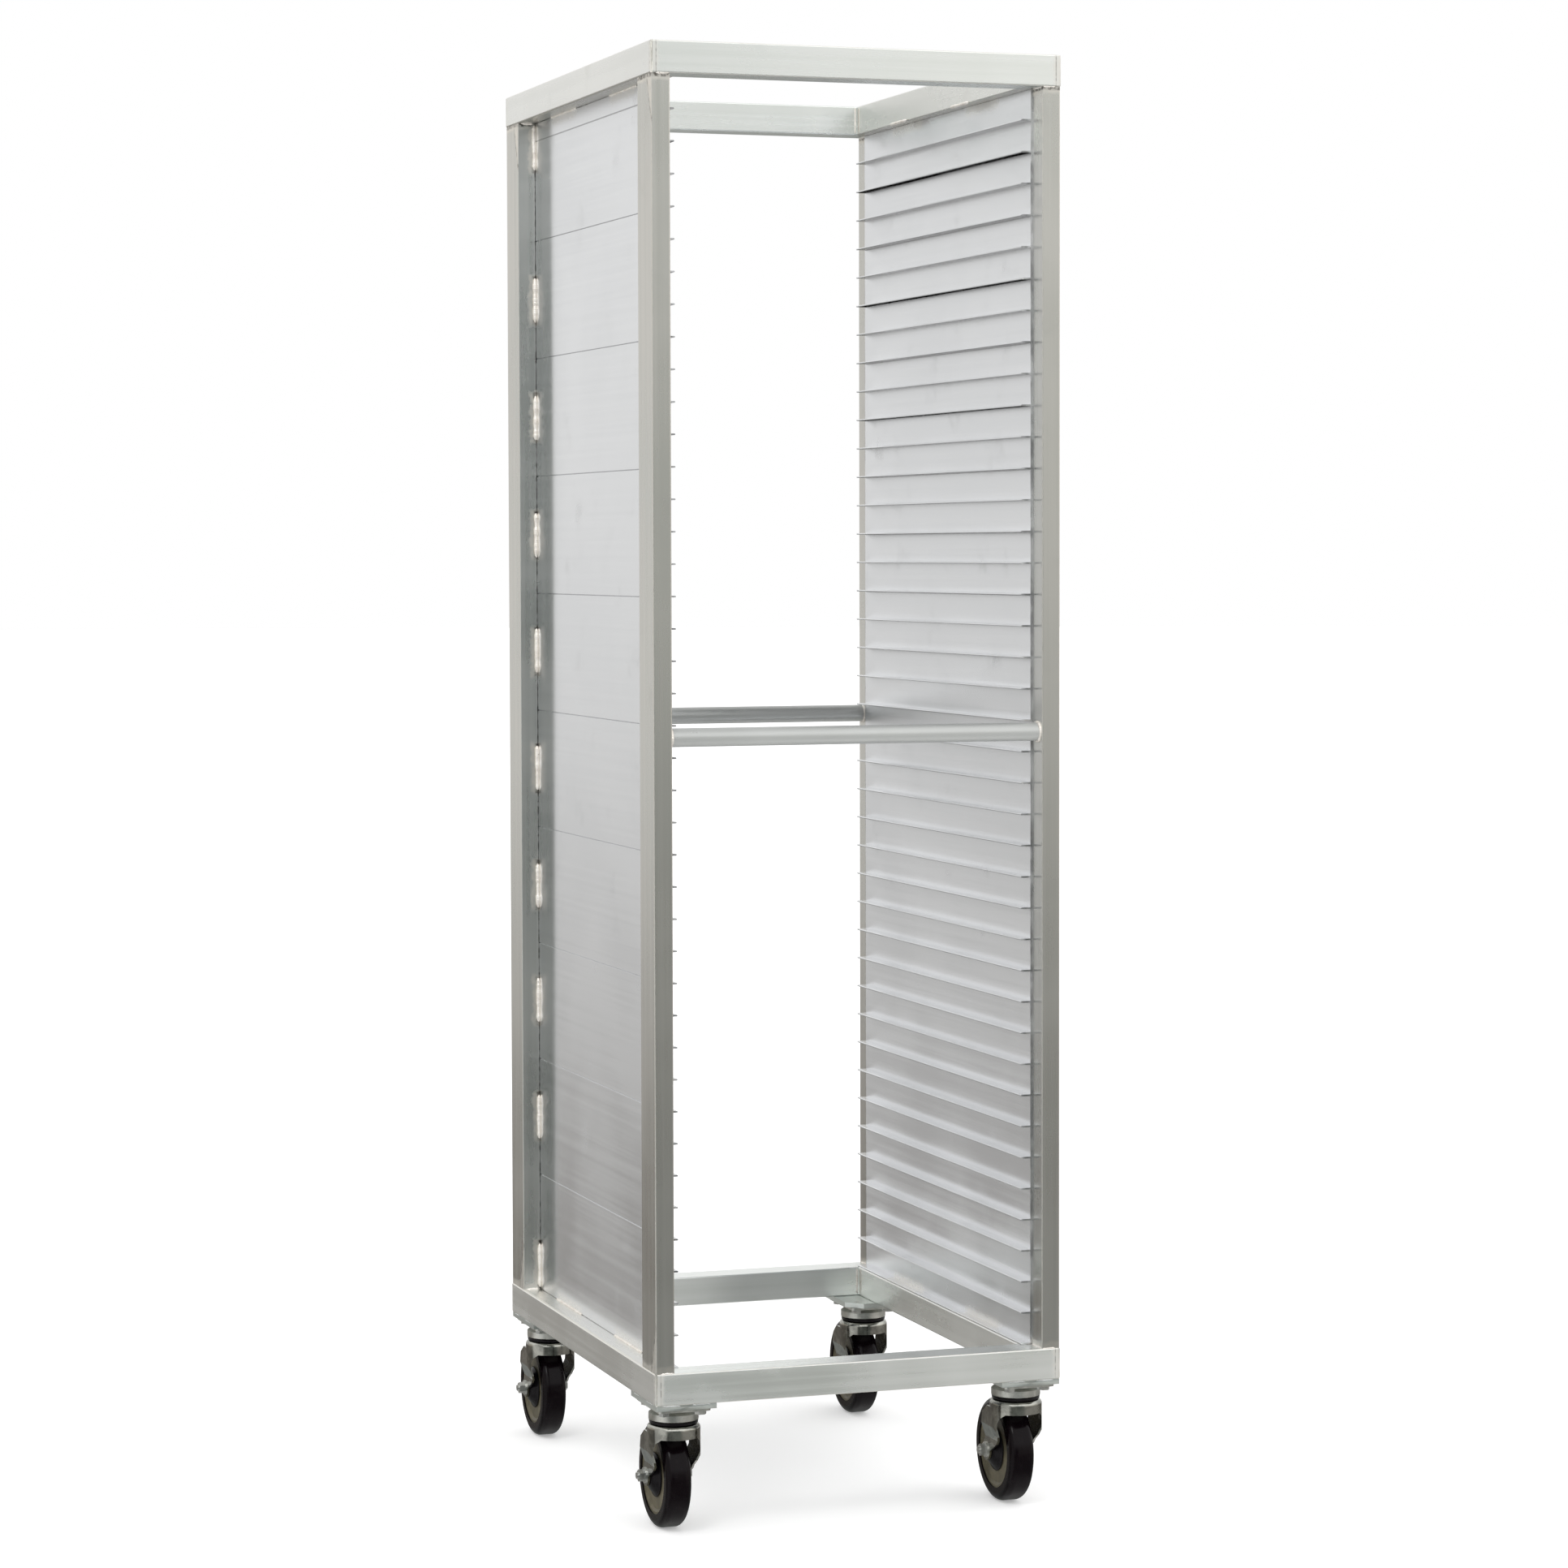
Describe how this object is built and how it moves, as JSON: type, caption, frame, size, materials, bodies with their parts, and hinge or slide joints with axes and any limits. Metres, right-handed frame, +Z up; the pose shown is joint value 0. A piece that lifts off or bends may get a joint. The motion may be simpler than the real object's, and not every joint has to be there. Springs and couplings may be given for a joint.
{
  "type": "sheet pan rack",
  "caption": "Tall welded aluminium rack with paired side ledges for full-size sheet pans, mid-height cross bars and swivel casters.",
  "frame": {"origin": "on the floor, under the middle of the space the whole rack takes up, with its rear wheels trailing out behind", "axes": "+X right along the front, +Y from front to back, +Z up"},
  "size_m": [0.5144, 0.7078, 1.7637],
  "materials": {
    "rail_aluminium": "satin",
    "upright_aluminium": "satin",
    "plank_aluminium": "satin",
    "bar_aluminium": "satin",
    "corner_plate_aluminium": "satin",
    "zinc_plated_steel": "polished",
    "axle_steel": "satin",
    "bolt_steel": "satin",
    "core_plastic": "matte",
    "tread_rubber": "satin"
  },
  "bodies": {
    "frame": {"top_front_rail": "rail_aluminium", "top_rear_rail": "rail_aluminium", "top_left_rail": "rail_aluminium", "top_right_rail": "rail_aluminium", "bottom_front_rail": "rail_aluminium", "bottom_rear_rail": "rail_aluminium", "bottom_left_rail": "rail_aluminium", "bottom_right_rail": "rail_aluminium", "upright_front_left": "upright_aluminium", "upright_front_right": "upright_aluminium", "upright_rear_left": "upright_aluminium", "upright_rear_right": "upright_aluminium", "left_plank_01": "plank_aluminium", "left_plank_02": "plank_aluminium", "left_plank_03": "plank_aluminium", "left_plank_04": "plank_aluminium", "left_plank_05": "plank_aluminium", "left_plank_06": "plank_aluminium", "left_plank_07": "plank_aluminium", "left_plank_08": "plank_aluminium", "left_plank_09": "plank_aluminium", "left_plank_10": "plank_aluminium", "right_plank_01": "plank_aluminium", "right_plank_02": "plank_aluminium", "right_plank_03": "plank_aluminium", "right_plank_04": "plank_aluminium", "right_plank_05": "plank_aluminium", "right_plank_06": "plank_aluminium", "right_plank_07": "plank_aluminium", "right_plank_08": "plank_aluminium", "right_plank_09": "plank_aluminium", "right_plank_10": "plank_aluminium", "front_cross_bar": "bar_aluminium", "rear_cross_bar": "bar_aluminium", "corner_plate_front_left": "corner_plate_aluminium", "caster_plate_front_left": "zinc_plated_steel", "corner_plate_front_right": "corner_plate_aluminium", "caster_plate_front_right": "zinc_plated_steel", "corner_plate_rear_left": "corner_plate_aluminium", "caster_plate_rear_left": "zinc_plated_steel", "corner_plate_rear_right": "corner_plate_aluminium", "caster_plate_rear_right": "zinc_plated_steel", "mount_bolts": "bolt_steel", "kingpins": "bolt_steel"},
    "swivel_front_left": {"fork_front_left": "zinc_plated_steel", "axle_front_left": "axle_steel"},
    "wheel_front_left": {"wheel_core_front_left": "core_plastic", "tyre_front_left": "tread_rubber"},
    "swivel_front_right": {"fork_front_right": "zinc_plated_steel", "axle_front_right": "axle_steel"},
    "wheel_front_right": {"wheel_core_front_right": "core_plastic", "tyre_front_right": "tread_rubber"},
    "swivel_rear_left": {"fork_rear_left": "zinc_plated_steel", "axle_rear_left": "axle_steel"},
    "wheel_rear_left": {"wheel_core_rear_left": "core_plastic", "tyre_rear_left": "tread_rubber"},
    "swivel_rear_right": {"fork_rear_right": "zinc_plated_steel", "axle_rear_right": "axle_steel"},
    "wheel_rear_right": {"wheel_core_rear_right": "core_plastic", "tyre_rear_right": "tread_rubber"}
  },
  "joints": [
    {"name": "swivel_turn_front_left", "type": "hinge", "parent": "frame", "child": "swivel_front_left", "pos_m": [-0.21918, -0.30195, 0.132], "axis": [0, 0, 1], "continuous": true},
    {"name": "wheel_roll_front_left", "type": "hinge", "parent": "swivel_front_left", "child": "wheel_front_left", "pos_m": [-0.21918, -0.26595, 0.0635], "axis": [1, 0, 0], "continuous": true},
    {"name": "swivel_turn_front_right", "type": "hinge", "parent": "frame", "child": "swivel_front_right", "pos_m": [0.21918, -0.30195, 0.132], "axis": [0, 0, 1], "continuous": true},
    {"name": "wheel_roll_front_right", "type": "hinge", "parent": "swivel_front_right", "child": "wheel_front_right", "pos_m": [0.21918, -0.26595, 0.0635], "axis": [1, 0, 0], "continuous": true},
    {"name": "swivel_turn_rear_left", "type": "hinge", "parent": "frame", "child": "swivel_rear_left", "pos_m": [-0.21918, 0.25445, 0.132], "axis": [0, 0, 1], "continuous": true},
    {"name": "wheel_roll_rear_left", "type": "hinge", "parent": "swivel_rear_left", "child": "wheel_rear_left", "pos_m": [-0.21918, 0.29045, 0.0635], "axis": [1, 0, 0], "continuous": true},
    {"name": "swivel_turn_rear_right", "type": "hinge", "parent": "frame", "child": "swivel_rear_right", "pos_m": [0.21918, 0.25445, 0.132], "axis": [0, 0, 1], "continuous": true},
    {"name": "wheel_roll_rear_right", "type": "hinge", "parent": "swivel_rear_right", "child": "wheel_rear_right", "pos_m": [0.21918, 0.29045, 0.0635], "axis": [1, 0, 0], "continuous": true}
  ]
}
